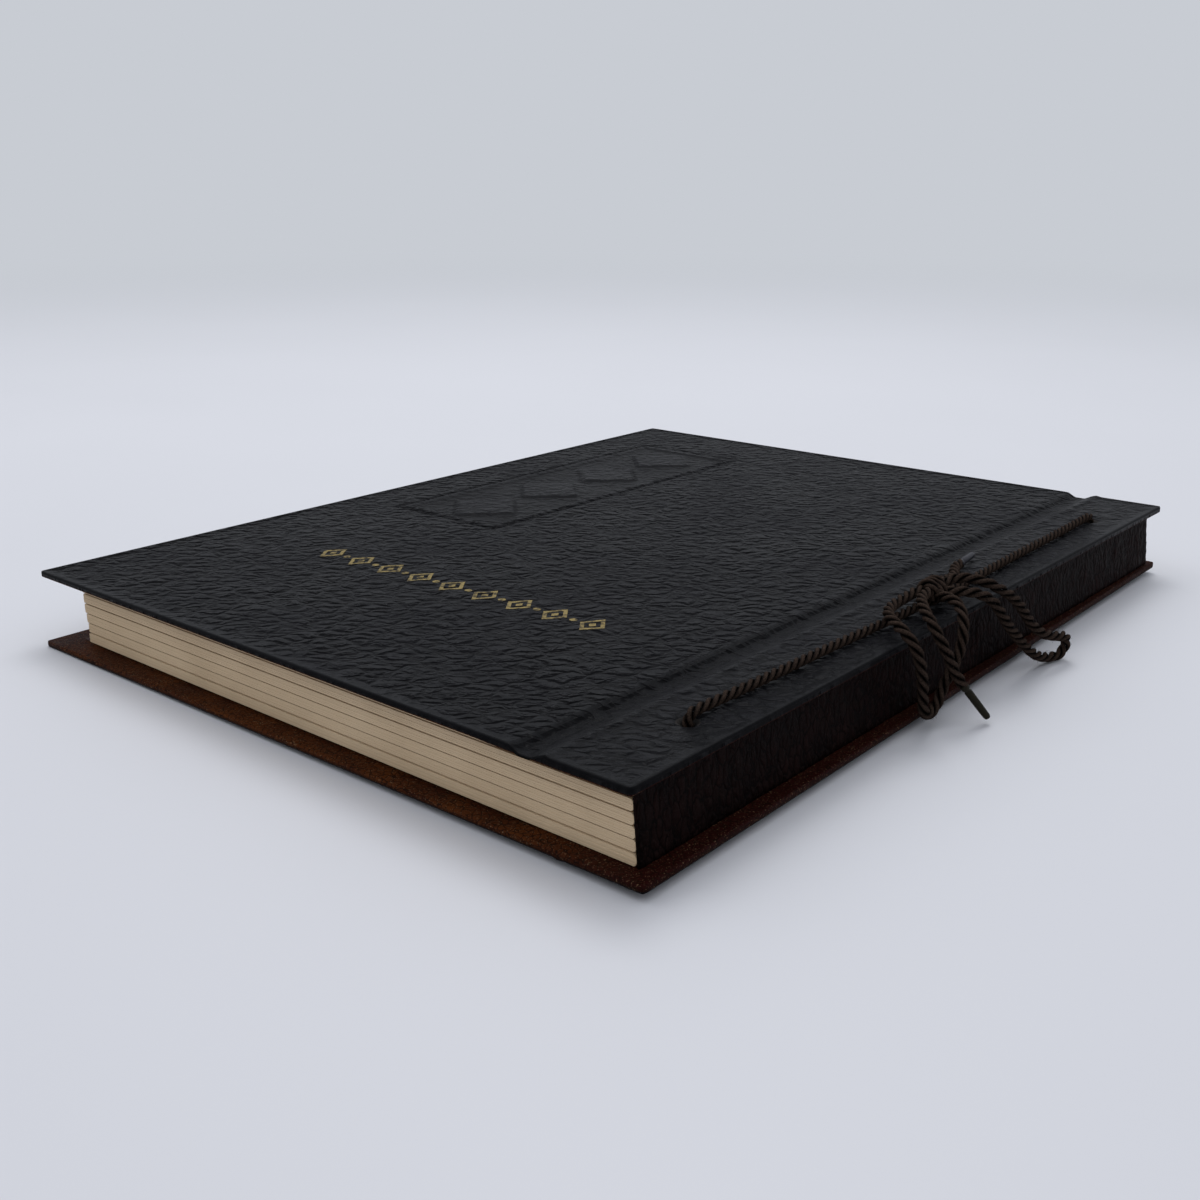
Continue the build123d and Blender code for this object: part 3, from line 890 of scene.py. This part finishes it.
# Lines of a cover's grid, close together at the rim, the groove and the holes
def coverLines(holes, step):
    rim = covers["rimLines"]
    fixedA = [coverLow + e for e in rim] + [coverHigh - e for e in rim]
    fixedA += [covers["grooveStep"] * at for at in range(*covers["grooveSteps"])]
    fixedB = [-halfTall + e for e in rim] + [halfTall - e for e in rim]
    for holeA, holeB in holes:
        fixedA += [holeA + covers["holeGrid"] * share for share in covers["holeShares"]]
        fixedB += [holeB + covers["holeGrid"] * share for share in covers["holeShares"]]
    return gridLines(fixedA, step), gridLines(fixedB, step)


# Quads of a cover's grid, left out where a hole is
def coverFaces(aLines, bLines, holes, first, isOuter):
    columns = len(bLines)
    middles = np.meshgrid((aLines[1:] + aLines[:-1]) / 2, (bLines[1:] + bLines[:-1]) / 2, indexing="ij")
    inHole = np.zeros(middles[0].shape, dtype=bool)
    for hole in holes:
        inHole |= ringAbout(*middles, hole) < covers["holeGrid"]
    faces = []
    for i, j in np.argwhere(~inHole).tolist():
        at = first + i * columns + j
        quad = (at, at + columns, at + columns + 1, at + 1)
        faces.append(quad if isOuter else quad[::-1])
    return faces


# Grid points on the edge of a hole, in order of angle
def holeRing(aLines, bLines, hole, first):
    across, along = np.meshgrid(aLines, bLines, indexing="ij")
    fromRing = np.abs(ringAbout(across, along, hole) - covers["holeGrid"])
    turns = []
    for i, j in np.argwhere(fromRing < covers["ringTolerance"]):
        turns.append((math.atan2(bLines[j] - hole[1], aLines[i] - hole[0]), first + i * len(bLines) + j))
    return [index for _, index in sorted(turns)]


# Grid points on the rim, each with its turn round the cover: 1 for each side
def rimTurns(aLines, bLines, first):
    wide = coverHigh - coverLow
    tall = 2 * halfTall
    turns = np.concatenate([(aLines[:-1] - coverLow) / wide, 1 + (bLines[:-1] + halfTall) / tall,
                            2 + (coverHigh - aLines[:0:-1]) / wide, 3 + (halfTall - bLines[:0:-1]) / tall])
    indices = [first + i * len(bLines) + j for i, j in gridRim(len(aLines), len(bLines))]
    return list(zip(turns, indices))


# One side of a cover, with its rim and hole rings for joining it to the other side
def coverSide(holes, isFront, isOuter, first):
    outerStep = covers["step"] if isFront else covers["backStep"]
    lines = coverLines(holes, outerStep if isOuter else covers["innerStep"])
    across, along = np.meshgrid(*lines, indexing="ij")
    inset = np.minimum(halfWide - np.abs(across - coverMiddle), halfTall - np.abs(along))
    if isOuter:
        height, grain, shade = outerSide(across, along, inset, isFront)
    else:
        height, grain, shade = innerSide(across, inset)
    holeRadius = binding["holeDiameter"] / 2 if isOuter else covers["holeThroat"]
    a, b = roundCorners(across, along)
    a, b, dent = openHoles(across, along, a, b, holes, holeRadius)
    if isOuter:
        height = height - covers["holeDent"] * dent
    return {"points": np.stack([a, b, height], axis=-1).reshape(-1, 3), "grain": grain.ravel(),
            "shade": shade.ravel(), "faces": coverFaces(*lines, holes, first, isOuter),
            "rim": rimTurns(*lines, first), "holeRings": [holeRing(*lines, hole, first) for hole in holes]}


# Triangles between two rims, by their turns round the cover
def joinRims(outer, inner):
    fullTurn = 4.0
    faces = []
    i = 0
    j = 0
    while i < len(outer) or j < len(inner):
        nextOuter = outer[i + 1][0] if i + 1 < len(outer) else fullTurn
        nextInner = inner[j + 1][0] if j + 1 < len(inner) else fullTurn
        thisOuter = outer[i % len(outer)][1]
        thisInner = inner[j % len(inner)][1]
        if j >= len(inner) or (i < len(outer) and nextOuter <= nextInner):
            faces.append((thisOuter, thisInner, outer[(i + 1) % len(outer)][1]))
            i += 1
        else:
            faces.append((thisOuter, thisInner, inner[(j + 1) % len(inner)][1]))
            j += 1
    return faces


def coverPiece(name, place, holes, isFront, nodes):
    outer = coverSide(holes, isFront, True, 0)
    inner = coverSide(holes, isFront, False, len(outer["points"]))
    edges = joinRims(outer["rim"], inner["rim"])
    walls = []
    for upper, lower in zip(outer["holeRings"], inner["holeRings"]):
        walls += ringFaces(upper, lower)
    faces = outer["faces"] + inner["faces"] + edges + walls
    faceMaterials = [0] * len(outer["faces"]) + [1] * len(inner["faces"])
    faceMaterials += [0 if isFront else 1] * len(edges) + [2] * len(walls)
    if place.to_3x3().determinant() < 0:
        faces = [face[::-1] for face in faces]
    verts = np.concatenate([outer["points"], inner["points"]])
    attributes = {key: np.concatenate([outer[key], inner[key]]) for key in ("grain", "shade")}
    piece = addPiece(name, placed(verts, place), faces, [blackLeather, brownLeather, shadedBoardCore], None,
                     attributes, faceMaterials)
    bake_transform(piece)
    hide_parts(*nodes)
    return piece


frontHoles = [(holeAcross, sign * binding["holeSpacing"] / 2) for sign in (-1, 1)]
backHoles = []
for holeA, holeB in frontHoles:
    local = backFrame.inverted() @ (frontFrame @ Vector((holeA, holeB, binding["backInside"])))
    backHoles.append((local.x, local.y))
frontCover = coverPiece("frontCover", frontFrame, frontHoles, True,
                        ("front_cover_panel", "front_hinge_strip", "front_hinge_leather"))
coverPiece("backCover", backFrame, backHoles, False,
           ("back_cover_panel", "back_hinge_strip", "back_hinge_leather"))
for node in ("front_cover_lining", "back_cover_lining"):
    lining = frame["nodes"][node]
    lining.data.materials.clear()
    lining.data.materials.append(liningPaper)
print("covers made")

# Gilt row: lozenges and dots laid on the cover's grain, with bands as shares of each mark's size
giltRow = {
    "from": -40.0, "to": -144.0, "along": -76.0, "lozenges": 9, "lozengeSize": (8.2, 10.4), "sidePoints": 6,
    "lozengeBandShares": ((0.06, 0.16, 0.28), (0.66, 0.83, 1.0)), "dotSize": 2.2, "dotPoints": 16,
    "dotBandShares": ((0.1, 0.5, 1.0),), "lift": 0.05, "dropFrom": 20.0, "dropReach": 100.0}


# Marks in a row, dropped on the cover
def giltTree():
    tree, given = newTree("laidMarks", {
        "Mark": "Object", "Cover": "Object", "Count": "Int", "First": "Vector", "Offset": "Vector",
        "Outwards": "Vector", "Lift": "Float", "Reach": "Float", "Material": "Material"})
    real = geometry(tree, "RealizeInstances", {"Geometry": rowOfCopies(tree, given, "Mark")})
    cover = addNode(tree, "GeometryNodeObjectInfo", {"Object": given["Cover"]}).outputs["Geometry"]
    hit = addNode(tree, "GeometryNodeRaycast", {
        "Target Geometry": cover, "Ray Length": given["Reach"],
        "Ray Direction": vectorCalc(tree, "SCALE", given["Outwards"], -1.0)}).outputs["Hit Position"]
    top = vectorCalc(tree, "ADD", hit, vectorCalc(tree, "SCALE", given["Outwards"], given["Lift"]))
    return endTree(tree, given, geometry(tree, "SetPosition", {"Geometry": real, "Position": top}))


# Flat mark of bands round a solid middle, with inner points so that it can follow the grain
def markObject(name, corners, bands):
    verts = []
    faces = [tuple(range(len(corners)))]
    count = len(corners)
    for band in bands:
        base = len(verts)
        for share in band:
            verts += [(x * mm * share, y * mm * share, 0.0) for x, y in corners]
        for ring in range(len(band) - 1):
            inner = base + ring * count
            for at in range(count):
                after = (at + 1) % count
                faces.append((inner + at, inner + count + at, inner + count + after, inner + after))
    return bpy.data.objects.new(name, newMesh(name, verts, [], faces))


def makeGilt():
    tree = giltTree()
    wide, tall = (size / 2 for size in giltRow["lozengeSize"])
    corners = [(wide, 0), (0, tall), (-wide, 0), (0, -tall)]
    shares = [at / giltRow["sidePoints"] for at in range(giltRow["sidePoints"])]
    lozenge = []
    for (x0, y0), (x1, y1) in zip(corners, corners[1:] + corners[:1]):
        lozenge += [(x0 + (x1 - x0) * share, y0 + (y1 - y0) * share) for share in shares]
    radius = giltRow["dotSize"] / 2
    angles = [math.tau * at / giltRow["dotPoints"] for at in range(giltRow["dotPoints"])]
    dot = [(radius * math.cos(angle), radius * math.sin(angle)) for angle in angles]
    count = giltRow["lozenges"]
    pitch = (giltRow["to"] - giltRow["from"]) / (count - 1)
    offset = frontFrame.to_3x3() @ Vector((pitch, 0, 0))
    outwards = frontFrame.to_3x3() @ Vector((0, 0, 1 / mm))
    rows = (("giltLozenges", lozenge, giltRow["lozengeBandShares"], giltRow["from"], count),
            ("giltDots", dot, giltRow["dotBandShares"], giltRow["from"] + pitch / 2, count - 1))
    for name, outline, bands, first, copies in rows:
        mark = markObject(name + "Mark", outline, bands)
        piece = addPiece(name, [(0, 0, 0)], [], [], None)
        bakeNodes(piece, tree, {
            "Mark": mark, "Cover": frontCover, "Count": copies, "Lift": giltRow["lift"] * mm,
            "First": tuple(frontFrame @ Vector((first, giltRow["along"], giltRow["dropFrom"]))),
            "Offset": tuple(offset), "Outwards": tuple(outwards), "Reach": giltRow["dropReach"] * mm,
            "Material": goldFoil})
        removeObject(mark)
        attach(piece, "front_cover")


makeGilt()
print("gilt made")

# Text block: sections of folded sheets, each a little out of line with the next
pages = {
    "sections": 6, "sheets": 7, "sectionPaper": 2.64, "foldDepth": 0.9, "leastFold": 0.02,
    "foldCreep": 0.07, "foldSteps": 9, "sheetGap": 0.004, "sheetJitter": 0.04,
    "sectionJitter": (0.12, 0.3, 0.0), "toneRange": (0.25, 0.75), "seed": 7}


# Outer and inner run of a folded sheet, from one fore-edge round the fold at x = 0 to the other
def sheetRuns(sheet, fores):
    half = pages["sectionPaper"] / 2
    pitch = half / pages["sheets"]
    outerHalf = half - sheet * pitch
    innerHalf = outerHalf - pitch + pages["sheetGap"]
    fold = pages["foldDepth"] * outerHalf / half
    foldX = -pages["foldCreep"] * sheet
    runs = []
    for lift, depth, foldTip in ((outerHalf, fold, foldX), (innerHalf, fold - pitch, foldX - pitch)):
        depth = max(depth, pages["leastFold"])
        run = [(fores[0], lift)]
        for at in range(pages["foldSteps"] + 1):
            angle = math.pi / 2 - math.pi * at / pages["foldSteps"]
            run.append((foldTip - depth + depth * math.cos(angle), lift * math.sin(angle)))
        run.append((fores[1], -lift))
        runs.append(run)
    return runs


# One section: sheets folded inside one another, with a tone for each sheet
def sectionMesh():
    random = np.random.default_rng(pages["seed"])
    verts = []
    faces = []
    tones = []
    for sheet in range(pages["sheets"]):
        fores = -binding["blockWidth"] + random.uniform(-1, 1, 2) * pages["sheetJitter"]
        ends = np.array([-1, 1]) * binding["blockHeight"] / 2
        ends = ends + random.uniform(-1, 1, 2) * pages["sheetJitter"]
        runs = sheetRuns(sheet, fores)
        count = len(runs[0])
        outer0, inner0, outer1, inner1 = (len(verts) + at * count for at in range(4))
        for end in ends:
            for run in runs:
                verts += [(x, end, z) for x, z in run]
        tones += [random.uniform(*pages["toneRange"])] * (4 * count)
        for at in range(count - 1):
            faces.append((outer0 + at, outer1 + at, outer1 + at + 1, outer0 + at + 1))
            faces.append((inner0 + at + 1, inner1 + at + 1, inner1 + at, inner0 + at))
            faces.append((outer0 + at + 1, inner0 + at + 1, inner0 + at, outer0 + at))
            faces.append((outer1 + at, inner1 + at, inner1 + at + 1, outer1 + at + 1))
        last = count - 1
        faces.append((outer0, inner0, inner1, outer1))
        faces.append((outer0 + last, outer1 + last, inner1 + last, inner0 + last))
    return verts, faces, tones


def sectionTree():
    tree, given = newTree("stackedSections", {
        "Section": "Object", "Count": "Int", "First": "Vector", "Offset": "Vector", "Jitter": "Vector",
        "Seed": "Int", "Material": "Material"})
    shift = addNode(tree, "FunctionNodeRandomValue", {
        0: vectorCalc(tree, "SCALE", given["Jitter"], -1.0), 1: given["Jitter"], "Seed": given["Seed"]},
        data_type="FLOAT_VECTOR").outputs[0]
    shifted = geometry(tree, "TranslateInstances", {
        "Instances": rowOfCopies(tree, given, "Section"), "Translation": shift})
    return endTree(tree, given, geometry(tree, "RealizeInstances", {"Geometry": shifted}))


def makePages():
    verts, faces, tones = sectionMesh()
    section = addPiece("section", verts, faces, [], None, {"tone": tones})
    section.data.polygons.foreach_set("use_smooth", [False] * len(section.data.polygons))
    pitch = binding["blockThickness"] / pages["sections"]
    lean = binding["spineLean"] / pages["sections"]
    foldLine = binding["grooveInset"] - binding["spineOverhang"]
    bottom = binding["blockTop"] - binding["blockThickness"]
    first = (foldLine + binding["spineLean"] / 2 - lean / 2, 0.0, bottom + pitch / 2)
    piece = addPiece("textBlock", [(0, 0, 0)], [], [], None)
    bakeNodes(piece, sectionTree(), {
        "Section": section, "Count": pages["sections"], "First": first, "Offset": (-lean, 0.0, pitch),
        "Jitter": pages["sectionJitter"], "Seed": pages["seed"], "Material": pagePaper})
    removeObject(section)
    piece.data.transform(frontFrame)
    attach(piece, "bound_block")
    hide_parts("text_block")


makePages()
print("pages made")

# Spine: leather glued over the folds, wrinkled from head to tail
spine = {
    "thickness": 0.9, "glue": 0.05, "alongStep": 0.9, "upStep": 0.7, "wrinkleSize": (1.5, 7.0),
    "wrinkleSeed": 2.0, "wrinkleDepth": 0.28, "wrinkleMiddle": 0.55, "wrinkleGain": 0.9,
    "waveSize": (9.0, 5.0), "waveSeed": 8.0, "waveDepth": 0.12, "leastShadeShare": 0.35}


def spineNoise(along, up, kind):
    wide, tall = spine[kind + "Size"]
    return noise.noise((along / wide, up / tall, spine[kind + "Seed"]))


# How far an outer point of the spine stands out, and its tone: low in the wrinkles' hollows, where the
# leather is painted with shade
def spineWrinkle(along, up, pitch):
    crinkle = spineNoise(along, up, "wrinkle")
    wave = spineNoise(along, up, "wave")
    ribs = abs(math.cos(math.pi * up / pitch))
    tone = min(1, max(0, spine["wrinkleMiddle"] + spine["wrinkleGain"] * crinkle))
    lift = spine["thickness"] - spine["wrinkleDepth"] * (1 - tone) + spine["waveDepth"] * (wave - ribs)
    return lift, tone


def makeSpine():
    half = binding["blockHeight"] / 2
    thickness = binding["blockThickness"]
    alongLines = gridLines([-half, half], spine["alongStep"])
    upLines = gridLines([0.0, thickness], spine["upStep"])
    face = binding["grooveInset"] - binding["spineOverhang"] + spine["glue"]
    least = spine["leastShadeShare"]
    verts = []
    shade = []
    for isOuter in (True, False):
        for along in alongLines:
            for up in upLines:
                lift = 0.0
                tone = 1.0
                if isOuter:
                    lift, tone = spineWrinkle(along, up, thickness / pages["sections"])
                lean = binding["spineLean"] * (0.5 - up / thickness)
                verts.append((face + lean + lift, along, binding["blockTop"] - thickness + up))
                # Painted shade: the spine's shade share falls with the tone, darkest in the wrinkles'
                # hollows
                shade.append(least + (1 - least) * tone)
    rows = len(alongLines)
    columns = len(upLines)
    size = rows * columns
    faces = []
    for i in range(rows - 1):
        for j in range(columns - 1):
            at = i * columns + j
            faces.append((at, at + columns, at + columns + 1, at + 1))
            faces.append((size + at, size + at + 1, size + at + columns + 1, size + at + columns))
    rim = [i * columns + j for i, j in gridRim(rows, columns)]
    for at, after in zip(rim, rim[1:] + rim[:1]):
        faces.append((after, at, size + at, size + after))
    piece = addPiece("spineWrap", placed(verts, frontFrame), faces, [spineLeather], "bound_block",
                     {"grain": [1.0] * len(verts), "shade": shade})
    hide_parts("spine_wrap")


makeSpine()
print("spine made")
